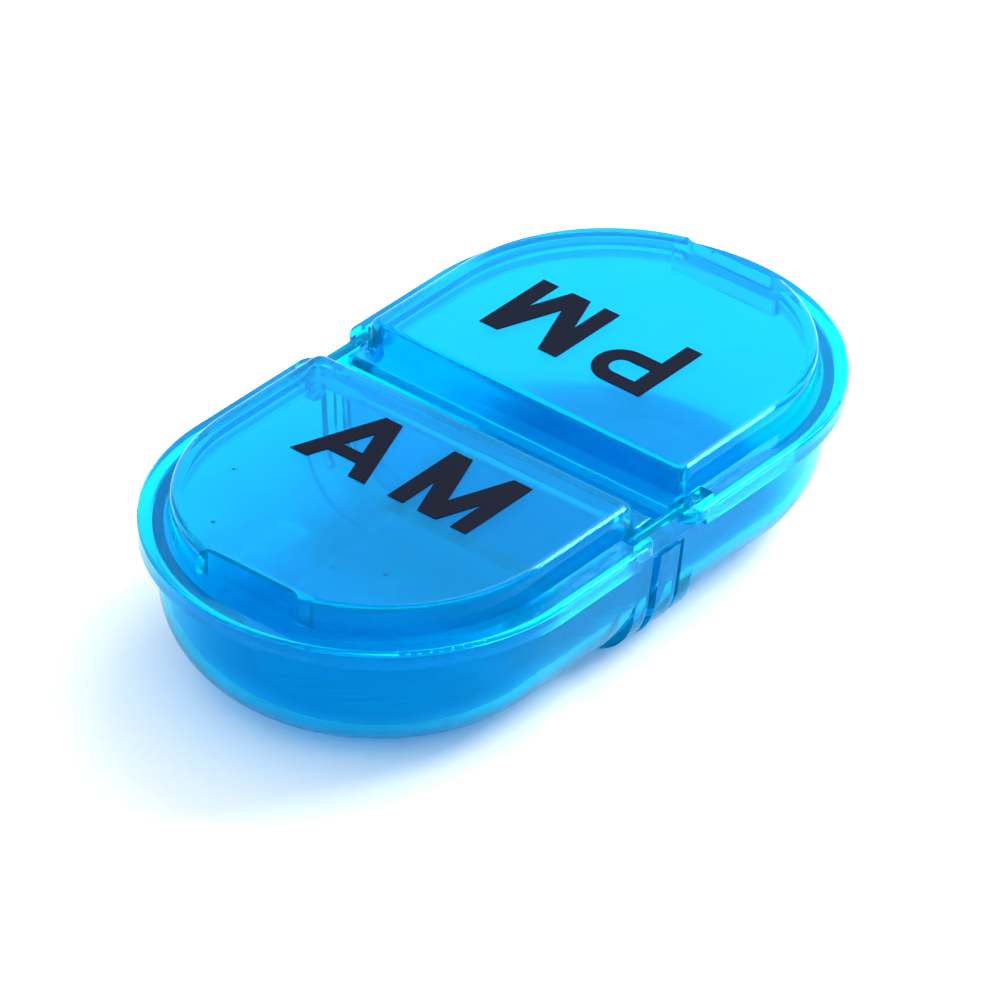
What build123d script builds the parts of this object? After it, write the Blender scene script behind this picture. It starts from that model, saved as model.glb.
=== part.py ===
from build123d import *

# Two-compartment morning and evening pill box: a base tub, two hinged lids and the printed letters.
# Millimetres. The base stands on Z = 0 and +Z is up. X runs along the box from the morning end (-X)
# to the evening end (+X). The origin is at the middle of the underside.

import os
from math import cos, radians, tan

# Outline seen from above: two half circles joined by straight sides
HALF_LENGTH = 42.0
HALF_WIDTH = 23.5
NOSE_CENTRE = HALF_LENGTH - HALF_WIDTH

# Heights above the table
FLOOR_TOP = 1.3
BASE_RIM = 14.85
SKIRT_BOTTOM = 14.2
FLANGE_BOTTOM = 14.95
FLANGE_TOP = 16.1
ROOF_BOTTOM = 17.8
LID_TOP = 19.0

# Base tub
TUB_HALF_WIDTH = 22.0
TUB_WALL = 1.1
TUB_DRAFT = 5.0
TUB_BOTTOM_RADIUS = 9.2
DIVIDER_TOP = 13.3
DIVIDER_HALF_AT_TOP = 0.85
DIVIDER_HALF_AT_FLOOR = 1.5
MIDDLE_HALF_LENGTH = 4.5
MIDDLE_BOTTOM_RADIUS = 7.0
RIB_HALF_WIDTH = 1.55
RIB_STANDS_OUT = 0.25
RIB_TOP = 12.5
GROOVE_WIDTH = 0.9
GROOVE_DEPTH = 0.5
GROOVE_BOTTOM = 3.5
GROOVE_TOP = 12.5

# Hinge: pins moulded on the lids turn in holes in the ears of the base
HINGE_X = 4.7
HINGE_Z = 14.5
PIN_RADIUS = 0.60
PIN_HOLE_RADIUS = 0.65
PIN_END = 22.0
EAR_INSIDE = 20.75
EAR_OUTSIDE = 22.0
EAR_RADIUS = 1.42
ARM_RADIUS = 1.2
ARM_INSIDE = 19.45
ARM_OUTSIDE = 20.45

# Lids
LID_START = 1.1
LID_CORNER_RADIUS = 2.0
FLANGE_RADIUS = 0.3
EAR_SLOT_END = 6.25
SKIRT_INSIDE = 22.2
FULL_CORNER_SKIRT_START = 3.6
CUT_CORNER_PLATE_START = 3.5
CUT_CORNER_SKIRT_START = 6.7
PLATEAU_START = 3.3
PLATEAU_HALF_WIDTH = 20.6
PLATEAU_DRAFT = 8.0
PLATEAU_WALL = 1.2
PLATEAU_CORNER_RADIUS = 1.5
PLATEAU_EDGE_RADIUS = 0.85
NOTCH_X = 37.0
NOTCH_HALF_WIDTH = 5.5
NOTCH_FLARE = 3.0
NOTCH_CORNER_RADIUS = 2.0

# Printed letters
INK_THICKNESS = 0.1
CAPITAL_HEIGHT = 10.2
STROKE = 1.95
LETTER_GAP = 2.9
A_WIDTH = 9.6
M_WIDTH = 9.9
P_WIDTH = 7.7
MORNING_BASELINE_X = -18.8
MORNING_FIRST_EDGE_Y = 11.1
EVENING_BASELINE_X = 21.2
EVENING_FIRST_EDGE_Y = -8.8


def block(x_range, y_range, z_range):
    """Box between two corners, given as low and high values on each axis."""
    sizes = [high - low for low, high in (x_range, y_range, z_range)]
    middles = [(high + low) / 2 for low, high in (x_range, y_range, z_range)]
    return Pos(*middles) * Box(*sizes)


def cross_rod(radius, x, z, inner, outer):
    """Round rod across the box on its +Y side, between two distances from the long axis."""
    return Pos(x, (inner + outer) / 2, z) * Rot(90, 0, 0) * Cylinder(radius, outer - inner)


def both_sides(solid):
    """A feature and its mirror image across the long axis."""
    return solid + mirror(solid, about=Plane.XZ)


def both_ends(solid):
    """A feature and its mirror image across the seam between the lids."""
    return solid + mirror(solid, about=Plane.YZ)


def half_outline(half_width, start, corner_radius=0.0):
    """Plan outline of one half: straight sides from start, then a half circle round the nose."""
    straight = Pos((start + NOSE_CENTRE) / 2, 0) * Rectangle(NOSE_CENTRE - start, 2 * half_width)
    right_half = Pos(NOSE_CENTRE + half_width / 2, 0) * Rectangle(half_width, 2 * half_width)
    outline = straight + (Pos(NOSE_CENTRE, 0) * Circle(half_width) & right_half)
    if corner_radius:
        outline = fillet(outline.vertices().group_by(Axis.X)[0], corner_radius)
    return outline


def slab(outline, bottom, top, taper=0.0):
    """Raise a plan outline between two heights, leaning inwards by taper degrees."""
    return extrude(Pos(0, 0, bottom) * outline, top - bottom, taper=taper)


def tub_section(inset, bottom, bottom_radius, top=BASE_RIM):
    """Half section of the tub, inset from its outside: a leaning side and a round bottom edge."""
    slope = tan(radians(TUB_DRAFT))
    side = TUB_HALF_WIDTH - inset / cos(radians(TUB_DRAFT))
    foot = side - (BASE_RIM - bottom) * slope
    shoulder = side - (BASE_RIM - top) * slope
    sharp = make_face(Polyline((0, bottom), (foot, bottom), (shoulder, top), (0, top), close=True))
    corner = sharp.vertices().filter_by_position(Axis.X, foot - 0.01, foot + 0.01).sort_by(Axis.Y)[0]
    return fillet(corner, bottom_radius)


def run_section(section, start, end):
    """Run a half section straight along X, on both sides of the long axis."""
    plane = Plane(origin=(end, 0, 0), x_dir=(0, -1, 0), z_dir=(-1, 0, 0))
    return both_sides(extrude(plane * section, end - start))


def half_tub(section):
    """Run a half section from the middle to the nose centre and turn it round the nose."""
    plane = Plane(origin=(NOSE_CENTRE, 0, 0), x_dir=(0, -1, 0), z_dir=(-1, 0, 0))
    nose = revolve(plane * section, Axis((NOSE_CENTRE, 0, 0), (0, 0, 1)), 180)
    return run_section(section, 0, NOSE_CENTRE) + nose


def divider():
    """Wall between the two wells, thicker at the floor than at its top."""
    side = Polyline(
        (DIVIDER_HALF_AT_FLOOR, 0),
        (DIVIDER_HALF_AT_TOP, DIVIDER_TOP),
        (-DIVIDER_HALF_AT_TOP, DIVIDER_TOP),
        (-DIVIDER_HALF_AT_FLOOR, 0),
        close=True,
    )
    return extrude(Plane.XZ * make_face(side), TUB_HALF_WIDTH, both=True)


def side_grooves():
    """Shallow grooves down both sides of the middle, one each side of the rib."""
    radius = MIDDLE_BOTTOM_RADIUS
    outside = tub_section(-1.0, -1.0, radius + 1.0)
    inside = tub_section(GROOVE_DEPTH, GROOVE_DEPTH, radius - GROOVE_DEPTH)
    ring = run_section(outside - inside, RIB_HALF_WIDTH, RIB_HALF_WIDTH + GROOVE_WIDTH)
    everywhere = (-HALF_LENGTH, HALF_LENGTH)
    return both_ends(ring & block(everywhere, everywhere, (GROOVE_BOTTOM, GROOVE_TOP)))


def middle_rib():
    """Rib that stands out between the grooves and fades away at the bottom edge."""
    section = tub_section(-RIB_STANDS_OUT, 0, MIDDLE_BOTTOM_RADIUS + RIB_STANDS_OUT, RIB_TOP)
    return run_section(section, -RIB_HALF_WIDTH, RIB_HALF_WIDTH)


def hinge_ears():
    """The side wall raised in the middle, with an end rounded about each hinge line."""
    across = (EAR_INSIDE, EAR_OUTSIDE)
    ear = block((-HINGE_X, HINGE_X), across, (DIVIDER_TOP, HINGE_Z + EAR_RADIUS))
    return both_sides(ear + both_ends(cross_rod(EAR_RADIUS, HINGE_X, HINGE_Z, *across)))


def make_base():
    """The whole lower moulding: two wells, the divider, the grooved middle and the hinge ears."""
    middle = run_section(tub_section(0, 0, MIDDLE_BOTTOM_RADIUS), -MIDDLE_HALF_LENGTH, MIDDLE_HALF_LENGTH)
    outside = both_ends(half_tub(tub_section(0, 0, TUB_BOTTOM_RADIUS))) + middle
    wells = both_ends(half_tub(tub_section(TUB_WALL, FLOOR_TOP, TUB_BOTTOM_RADIUS - TUB_WALL)))
    base = outside + middle_rib() - side_grooves() - wells
    base += (divider() & outside) + hinge_ears()
    holes = cross_rod(PIN_HOLE_RADIUS, HINGE_X, HINGE_Z, EAR_INSIDE - 1, EAR_OUTSIDE + 1)
    return base - both_ends(both_sides(holes))


def lid_outline():
    """Plan outline of the flange: one corner at the seam is cut back and both are rounded."""
    cut_length = CUT_CORNER_PLATE_START - LID_START
    cut = Rectangle(cut_length, HALF_WIDTH - ARM_OUTSIDE, align=(Align.MIN, Align.MIN))
    outline = half_outline(HALF_WIDTH, LID_START) - Pos(LID_START, ARM_OUTSIDE) * cut
    edge = HALF_WIDTH - 0.01
    corners = [v for v in outline.vertices() if abs(v.Y) > edge and v.X < CUT_CORNER_PLATE_START + 0.01]
    return fillet(corners, LID_CORNER_RADIUS)


def lid_plate():
    """Flange with a short skirt round its edge and a soft top edge."""
    plate = slab(lid_outline(), SKIRT_BOTTOM, FLANGE_TOP)
    plate = fillet(plate.faces().sort_by(Axis.Z)[-1].edges(), FLANGE_RADIUS)
    return plate - slab(half_outline(SKIRT_INSIDE, 0), SKIRT_BOTTOM, FLANGE_BOTTOM)


def hinge_clearance():
    """Slots for the ears, and the skirt cut back so that it swings clear of the base."""
    space = both_sides(block((0, EAR_SLOT_END), (ARM_OUTSIDE, SKIRT_INSIDE), (SKIRT_BOTTOM, FLANGE_TOP)))
    outer = (SKIRT_INSIDE, HALF_WIDTH)
    full_corner = (-HALF_WIDTH, -SKIRT_INSIDE)
    space += block((0, CUT_CORNER_SKIRT_START), outer, (SKIRT_BOTTOM, FLANGE_BOTTOM))
    return space + block((0, FULL_CORNER_SKIRT_START), full_corner, (SKIRT_BOTTOM, FLANGE_BOTTOM))


def lid_plateau():
    """Raised top of the lid, with leaning walls and a small round edge all the way round."""
    outline = half_outline(PLATEAU_HALF_WIDTH, PLATEAU_START, PLATEAU_CORNER_RADIUS)
    plateau = slab(outline, FLANGE_TOP, LID_TOP, PLATEAU_DRAFT)
    return fillet(plateau.faces().sort_by(Axis.Z)[-1].edges(), PLATEAU_EDGE_RADIUS)


def thumb_notch():
    """Bite out of the plateau's nose, down to the flange, where a thumb lifts the lid."""
    flared_x = NOTCH_X + NOTCH_FLARE
    flared_half = NOTCH_HALF_WIDTH + NOTCH_FLARE
    back = ((NOTCH_X, -NOTCH_HALF_WIDTH), (NOTCH_X, NOTCH_HALF_WIDTH))
    outline = make_face(Polyline(*back, (flared_x, flared_half), (flared_x, -flared_half), close=True))
    outline = fillet(outline.vertices().group_by(Axis.X)[0], NOTCH_CORNER_RADIUS)
    return slab(outline, FLANGE_TOP, LID_TOP + 1)


def lid_hollow():
    """Space under the plateau, with a wall kept behind the thumb notch."""
    half_width = PLATEAU_HALF_WIDTH - PLATEAU_WALL
    start = PLATEAU_START + PLATEAU_WALL
    space = slab(half_outline(half_width, start), FLANGE_BOTTOM, ROOF_BOTTOM, PLATEAU_DRAFT)
    wall_half = NOTCH_HALF_WIDTH + PLATEAU_WALL
    behind_notch = (NOTCH_X - PLATEAU_WALL, HALF_LENGTH)
    return space - block(behind_notch, (-wall_half, wall_half), (FLANGE_BOTTOM, LID_TOP))


def hinge_arms():
    """Small round arms under the seam end, each with a pin that points outwards."""
    arm = cross_rod(ARM_RADIUS, HINGE_X, HINGE_Z, ARM_INSIDE, ARM_OUTSIDE)
    return both_sides(arm + cross_rod(PIN_RADIUS, HINGE_X, HINGE_Z, ARM_OUTSIDE, PIN_END))


def make_lid():
    """The evening lid. The morning lid is the same moulding turned half a turn about Z."""
    plate = lid_plate() - hinge_clearance()
    return plate + lid_plateau() - lid_hollow() - thumb_notch() + hinge_arms()


def bar(start, end, width):
    """Letter stroke whose ends are cut level; start and end are its left corners."""
    (x0, y0), (x1, y1) = start, end
    return make_face(Polyline((x0, y0), (x0 + width, y0), (x1 + width, y1), (x1, y1), close=True))


def with_mirror(half, width):
    """A letter half and its mirror image about the middle of the letter."""
    return half + mirror(half, about=Plane.YZ.offset(width / 2))


def letter_a():
    """Block capital A with a flat top."""
    width = STROKE * 1.1
    leg = bar((0, 0), ((A_WIDTH - width) / 2, CAPITAL_HEIGHT), width)
    cross_bar = Pos(A_WIDTH / 2, CAPITAL_HEIGHT * 0.3) * Rectangle(A_WIDTH * 0.5, STROKE * 0.85)
    return with_mirror(leg, A_WIDTH) + cross_bar


def letter_m():
    """Block capital M whose middle point reaches the baseline."""
    post = bar((0, 0), (0, CAPITAL_HEIGHT), STROKE)
    width = STROKE * 1.2
    slant = bar(((M_WIDTH - width) / 2, 0), (0, CAPITAL_HEIGHT), width)
    return with_mirror(post + slant, M_WIDTH)


def letter_p():
    """Block capital P with a half-round bowl."""
    radius = CAPITAL_HEIGHT * 0.3
    bowl_y = CAPITAL_HEIGHT - radius
    bowl_x = P_WIDTH - radius
    bowl = Pos(bowl_x, bowl_y) * Circle(radius) + Pos(bowl_x / 2, bowl_y) * Rectangle(bowl_x, 2 * radius)
    inner = radius - STROKE * 0.9
    hole_length = bowl_x - STROKE
    hole = Pos(bowl_x, bowl_y) * Circle(inner)
    hole += Pos(STROKE + hole_length / 2, bowl_y) * Rectangle(hole_length, 2 * inner)
    left_part = Pos(P_WIDTH / 2, CAPITAL_HEIGHT / 2) * Rectangle(P_WIDTH, CAPITAL_HEIGHT)
    return bar((0, 0), (0, CAPITAL_HEIGHT), STROKE) + ((bowl & left_part) - hole)


def printed_word(letters, baseline_x, first_edge_y, turn):
    """Ink for each (name, face, width) in turn, set side by side on a lid's top."""
    place = Pos(baseline_x, first_edge_y, LID_TOP) * Rot(0, 0, turn)
    ink = {}
    edge = 0.0
    for name, face, width in letters:
        ink[name] = place * Pos(edge, 0, 0) * extrude(face, INK_THICKNESS)
        edge += width + LETTER_GAP
    return ink


morning_word = [("morning_letter_a", letter_a(), A_WIDTH), ("morning_letter_m", letter_m(), M_WIDTH)]
evening_word = [("evening_letter_p", letter_p(), P_WIDTH), ("evening_letter_m", letter_m(), M_WIDTH)]
evening_lid = make_lid()
nodes = {"base_tub": make_base(), "evening_lid": evening_lid, "morning_lid": Rot(0, 0, 180) * evening_lid}
nodes.update(printed_word(morning_word, MORNING_BASELINE_X, MORNING_FIRST_EDGE_Y, -90))
nodes.update(printed_word(evening_word, EVENING_BASELINE_X, EVENING_FIRST_EDGE_Y, 90))

os.makedirs("parts", exist_ok=True)
for name, solid in nodes.items():
    export_step(solid, f"parts/{name}.step")
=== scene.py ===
import math

import bpy
from mathutils import Matrix, Vector


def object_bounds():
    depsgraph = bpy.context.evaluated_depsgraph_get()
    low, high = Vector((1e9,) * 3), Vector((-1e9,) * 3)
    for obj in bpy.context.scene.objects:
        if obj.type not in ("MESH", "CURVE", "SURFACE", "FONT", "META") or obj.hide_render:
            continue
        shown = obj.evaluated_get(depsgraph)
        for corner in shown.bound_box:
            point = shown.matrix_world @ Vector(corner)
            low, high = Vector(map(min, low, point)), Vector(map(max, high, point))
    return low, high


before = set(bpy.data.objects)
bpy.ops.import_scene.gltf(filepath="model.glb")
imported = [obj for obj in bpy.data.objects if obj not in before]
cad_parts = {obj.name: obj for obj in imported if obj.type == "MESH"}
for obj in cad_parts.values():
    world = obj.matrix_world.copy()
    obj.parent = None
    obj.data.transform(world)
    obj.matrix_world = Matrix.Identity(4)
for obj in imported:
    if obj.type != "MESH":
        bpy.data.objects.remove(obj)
cad_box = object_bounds()

# ---------------------------------------------------------------------------------------------------
# Base tub
# The lower half of the box, one injection moulding in clear blue plastic with a flat underside.
# Its wells, divider, ribs and hinge ears come out of the same mould, so it stays one piece.

MM = 0.001

# Colours of the plastic: its own blues, a darker blue painted as shade on the round bottom edge, the
# divider and part of the walls, the dark specks in it and its surface shine
TUB_BLUE = (0.0, 0.69, 0.96, 1.0)
TUB_BLUE_DEEP = (0.0, 0.63, 0.94, 1.0)
PAINTED_SHADE_BLUE = (0.0, 0.66, 0.94, 1.0)
SPECK_BLUE = (0.0, 0.02, 0.10, 1.0)
SURFACE_BLUE = (0.10, 0.75, 1.0, 1.0)
TUB_IOR = 1.16
CLEARNESS = 0.86

# Patterns: how often each repeats in a metre, and how much fine detail it has
CLOUDS = 60.0
CLOUD_DETAIL = 3.0
SPECK_CELLS = 110.0
SCUFFS = 900.0
SCUFF_DETAIL = 4.0
SKIN_WAVES = 90.0
SKIN_WAVE_DETAIL = 1.5
TUB_FLOW = (1.0, 2.0, 4.0)

# A speck's dark core and faded edge, as shares of a cell, and how dark it gets
SPECK_CORE = 0.020
SPECK_EDGE = 0.034
SPECK_DARKNESS = 0.85

SMOOTHEST = 0.02
MOST_SCUFFED = 0.06
SKIN_WAVE_STRENGTH = 0.12
SKIN_WAVE_DEPTH = 0.3 * MM

# Where shade is painted darker on the tub: heights of the floor, round bottom edge and walls, and the
# divider's width
FLOOR_TOP = 1.3 * MM
ROUND_EDGE_START = FLOOR_TOP + 0.25 * MM
ROUND_EDGE_END = 6.0 * MM
WALL_START = 8.5 * MM
RIM = 14.85 * MM
WALL_SHARE = 0.60
DIVIDER_HALF = 1.5 * MM
WALL_INSIDE = 20.3 * MM
FADE = 0.3 * MM


def new_finish(name):
    """An empty material with a Principled shader, and its node tree's calls to add and join nodes."""
    material = bpy.data.materials.new(name)
    material.use_nodes = True
    tree = material.node_tree
    shader = tree.nodes["Principled BSDF"]

    def add(kind, **settings):
        node = tree.nodes.new(kind)
        for key, value in settings.items():
            setattr(node, key, value)
        return node

    return material, shader, add, tree.links.new


def noise(add, join, place, scale, detail):
    """Soft random pattern between 0 and 1."""
    pattern = add("ShaderNodeTexNoise")
    pattern.inputs["Scale"].default_value = scale
    pattern.inputs["Detail"].default_value = detail
    join(place, pattern.inputs["Vector"])
    return pattern.outputs["Fac"]


def remap(add, join, value, reads, gives):
    """Turn one span of values into another, and hold the ends."""
    span = add("ShaderNodeMapRange")
    span.inputs["From Min"].default_value, span.inputs["From Max"].default_value = reads
    span.inputs["To Min"].default_value, span.inputs["To Max"].default_value = gives
    join(value, span.inputs["Value"])
    return span.outputs["Result"]


def blend(add, join, share, under, over):
    """Mix two colours by a share. Each is a plain colour or the output of another node."""
    mix = add("ShaderNodeMix", data_type="RGBA")
    join(share, mix.inputs["Factor"])
    for colour, socket in ((under, mix.inputs["A"]), (over, mix.inputs["B"])):
        if isinstance(colour, bpy.types.NodeSocket):
            join(colour, socket)
        else:
            socket.default_value = colour
    return mix.outputs["Result"]


def relief(add, join, height, strength, depth):
    """Surface normal for a shallow relief."""
    bump = add("ShaderNodeBump")
    bump.inputs["Strength"].default_value = strength
    bump.inputs["Distance"].default_value = depth
    join(height, bump.inputs["Height"])
    return bump.outputs["Normal"]


def specks(add, join, place):
    """A few dark grains in the plastic, soft at their edges."""
    grains = add("ShaderNodeTexVoronoi", feature="F1")
    grains.inputs["Scale"].default_value = SPECK_CELLS
    join(place, grains.inputs["Vector"])
    return remap(add, join, grains.outputs["Distance"], (SPECK_CORE, SPECK_EDGE), (SPECK_DARKNESS, 0.0))


def clear_blue_plastic(name, blue, deep_blue, flow, ior, painted_shade_places=None):
    """Moulded clear plastic: cloudy flow marks, a few specks, fine scuffs and a slightly wavy skin."""
    material, shader, add, join = new_finish(name)
    place = add("ShaderNodeTexCoord").outputs["Object"]
    stretch = add("ShaderNodeMapping")
    stretch.inputs["Scale"].default_value = flow
    join(place, stretch.inputs["Vector"])
    along_flow = stretch.outputs["Vector"]

    clouds = noise(add, join, along_flow, CLOUDS, CLOUD_DETAIL)
    colour = blend(add, join, clouds, deep_blue, blue)
    if painted_shade_places:
        # Darker blue painted as shade on the tub's round bottom edge, divider and walls
        colour = blend(add, join, painted_shade_places(add, join, place), colour, PAINTED_SHADE_BLUE)
    colour = blend(add, join, specks(add, join, place), colour, SPECK_BLUE)
    join(colour, shader.inputs["Base Color"])

    scuffs = noise(add, join, along_flow, SCUFFS, SCUFF_DETAIL)
    join(remap(add, join, scuffs, (0.0, 1.0), (SMOOTHEST, MOST_SCUFFED)), shader.inputs["Roughness"])
    waves = noise(add, join, place, SKIN_WAVES, SKIN_WAVE_DETAIL)
    join(relief(add, join, waves, SKIN_WAVE_STRENGTH, SKIN_WAVE_DEPTH), shader.inputs["Normal"])

    shader.inputs["IOR"].default_value = ior
    shader.inputs["Transmission Weight"].default_value = CLEARNESS
    shader.inputs["Specular Tint"].default_value = SURFACE_BLUE
    return material


def arithmetic(add, join, operation, first, second=None):
    """One sum on a node's output. The second number, if there is one, is an output or a plain value."""
    step = add("ShaderNodeMath", operation=operation)
    join(first, step.inputs[0])
    if isinstance(second, bpy.types.NodeSocket):
        join(second, step.inputs[1])
    elif second is not None:
        step.inputs[1].default_value = second
    return step.outputs["Value"]


def round_edge_and_wall(add, join, height):
    """Share of painted shade by height: none in the floor, full in the round edge, part in the wall."""
    shares = add("ShaderNodeValToRGB")
    first, last = shares.color_ramp.elements
    first.position = FLOOR_TOP / RIM
    first.color = (0, 0, 0, 1)
    last.position = 1.0
    last.color = (WALL_SHARE, WALL_SHARE, WALL_SHARE, 1)
    for stop_height, share in ((ROUND_EDGE_START, 1.0), (ROUND_EDGE_END, 1.0), (WALL_START, WALL_SHARE)):
        stop = shares.color_ramp.elements.new(stop_height / RIM)
        stop.color = (share, share, share, 1)
    join(arithmetic(add, join, "DIVIDE", height, RIM), shares.inputs["Fac"])
    return shares.outputs["Color"]


def within(add, join, distance, limit):
    """1 where a coordinate is nearer to zero than the limit, fading to 0 just beyond it."""
    size = arithmetic(add, join, "ABSOLUTE", distance)
    return remap(add, join, size, (limit + FADE, limit), (0.0, 1.0))


def tub_painted_shade_places(add, join, place):
    """Where shade is painted on the tub: the divider, the round bottom edge and partly the walls."""
    axes = add("ShaderNodeSeparateXYZ")
    join(place, axes.inputs["Vector"])
    in_divider = within(add, join, axes.outputs["X"], DIVIDER_HALF)
    between_walls = within(add, join, axes.outputs["Y"], WALL_INSIDE)
    divider_only = arithmetic(add, join, "MULTIPLY", in_divider, between_walls)
    by_height = round_edge_and_wall(add, join, axes.outputs["Z"])
    return arithmetic(add, join, "MAXIMUM", by_height, divider_only)


def wear(node_name, finish):
    """Give a CAD node its finish."""
    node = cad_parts[node_name]
    node.data.materials.clear()
    node.data.materials.append(finish)


tub_plastic = clear_blue_plastic(
    "tub clear blue plastic", TUB_BLUE, TUB_BLUE_DEEP, TUB_FLOW, TUB_IOR, tub_painted_shade_places
)
wear("base_tub", tub_plastic)

# ---------------------------------------------------------------------------------------------------
# Lids
# Two lids from one mould in the same clear blue plastic, snapped into the ears by pins at the seam.
# Each has a raised top with a thumb notch, and was filled from the notch end.

LID_BLUE = (0.0, 0.66, 0.97, 1.0)
LID_BLUE_DEEP = (0.0, 0.60, 0.95, 1.0)
LID_IOR = 1.28
LID_FLOW = (1.0, 3.0, 3.0)

lid_plastic = clear_blue_plastic("lid clear blue plastic", LID_BLUE, LID_BLUE_DEEP, LID_FLOW, LID_IOR)
for lid in ("morning_lid", "evening_lid"):
    wear(lid, lid_plastic)

# ---------------------------------------------------------------------------------------------------
# Printed letters
# Dark ink pressed onto the lid tops by a soft pad. The film is thin and slightly uneven, so its
# gloss changes over each letter.

INK = (0.004, 0.006, 0.014, 1.0)
INK_THIN = (0.006, 0.011, 0.028, 1.0)
INK_BLOTCHES = 700.0
INK_BLOTCH_DETAIL = 5.0
INK_GLOSSIEST = 0.35
INK_DULLEST = 0.60
INK_SHINE = 0.05
INK_GRAIN_STRENGTH = 0.15
INK_GRAIN_DEPTH = 0.05 * MM


def pad_printed_ink():
    """Near-black ink with a faintly blotchy film and a fine grain."""
    material, shader, add, join = new_finish("pad printed ink")
    place = add("ShaderNodeTexCoord").outputs["Object"]
    blotches = noise(add, join, place, INK_BLOTCHES, INK_BLOTCH_DETAIL)
    gloss = remap(add, join, blotches, (0.0, 1.0), (INK_GLOSSIEST, INK_DULLEST))
    grain = relief(add, join, blotches, INK_GRAIN_STRENGTH, INK_GRAIN_DEPTH)
    join(blend(add, join, blotches, INK, INK_THIN), shader.inputs["Base Color"])
    join(gloss, shader.inputs["Roughness"])
    join(grain, shader.inputs["Normal"])
    shader.inputs["Specular IOR Level"].default_value = INK_SHINE
    return material


ink = pad_printed_ink()
for letter in ("morning_letter_a", "morning_letter_m", "evening_letter_p", "evening_letter_m"):
    wear(letter, ink)

# ---------------------------------------------------------------------------------------------------
# Studio
# A plain white table top in a white room. A soft box hangs over the evening end, and a strip light
# on the right draws the bright lines along the lid edges.

FLOOR_SIZE = 6.0
FLOOR_WHITE = (0.93, 0.93, 0.93, 1.0)
FLOOR_ROUGHNESS = 0.7
ROOM_WHITE = (1.0, 1.0, 1.0, 1.0)
ROOM_BRIGHTNESS = 0.92

bpy.ops.object.select_all(action="DESELECT")
bpy.ops.mesh.primitive_plane_add(size=FLOOR_SIZE, location=(0, 0, cad_box[0][2]))
table_top = bpy.context.object
table_top.name = "table_top"
table_white, table_shader, _, _ = new_finish("table white")
table_shader.inputs["Base Color"].default_value = FLOOR_WHITE
table_shader.inputs["Roughness"].default_value = FLOOR_ROUGHNESS
table_top.data.materials.append(table_white)

scene = bpy.context.scene
room = bpy.data.worlds.new("soft_white_room")
room.use_nodes = True
room_light = room.node_tree.nodes["Background"]
room_light.inputs["Color"].default_value = ROOM_WHITE
room_light.inputs["Strength"].default_value = ROOM_BRIGHTNESS
scene.world = room

OVERHEAD_PLACE = (0.18, 0.06, 0.26)
OVERHEAD_SIDE = 0.15
OVERHEAD_POWER = 0.30
STRIP_PLACE = (0.43, -0.20, 0.46)
STRIP_WIDTH = 0.07
STRIP_LENGTH = 0.40
STRIP_POWER = 4.0
STRIP_LONG_WAY = (0, -0.92, -0.40)


def soft_box(name, place, width, length, power, long_way=(0, 1, 0)):
    """Rectangular area light aimed at the middle of the box, with its length along long_way."""
    bpy.ops.object.light_add(type="AREA", location=place)
    lamp = bpy.context.object
    lamp.name = name
    lamp.data.shape = "RECTANGLE"
    lamp.data.size = width
    lamp.data.size_y = length
    lamp.data.energy = power
    away = Vector(place).normalized()
    across = Vector(long_way).cross(away).normalized()
    lamp.rotation_euler = Matrix((across, away.cross(across), away)).transposed().to_euler()


soft_box("overhead_soft_box", OVERHEAD_PLACE, OVERHEAD_SIDE, OVERHEAD_SIDE, OVERHEAD_POWER)
soft_box("right_strip_light", STRIP_PLACE, STRIP_WIDTH, STRIP_LENGTH, STRIP_POWER, STRIP_LONG_WAY)

CAMERA_PLACE = Vector((-0.520889, -0.414916, 0.465107))
CAMERA_LOOKS = Vector((0.645264, 0.513364, -0.565766))
CAMERA_ROLL = math.radians(1.857)
CAMERA_LENS = 291.9
CAMERA_SENSOR = 36.0
CAMERA_NEAR = 0.01

camera_data = bpy.data.cameras.new("studio_camera")
camera_data.lens = CAMERA_LENS
camera_data.sensor_width = CAMERA_SENSOR
camera_data.clip_start = CAMERA_NEAR
camera = bpy.data.objects.new("studio_camera", camera_data)
scene.collection.objects.link(camera)
camera.location = CAMERA_PLACE
camera.rotation_euler = CAMERA_LOOKS.to_track_quat("-Z", "Y").to_euler()
camera.rotation_euler.rotate_axis("Z", CAMERA_ROLL)
scene.camera = camera

scene.view_settings.view_transform = "Standard"
scene.view_settings.look = "Medium High Contrast"
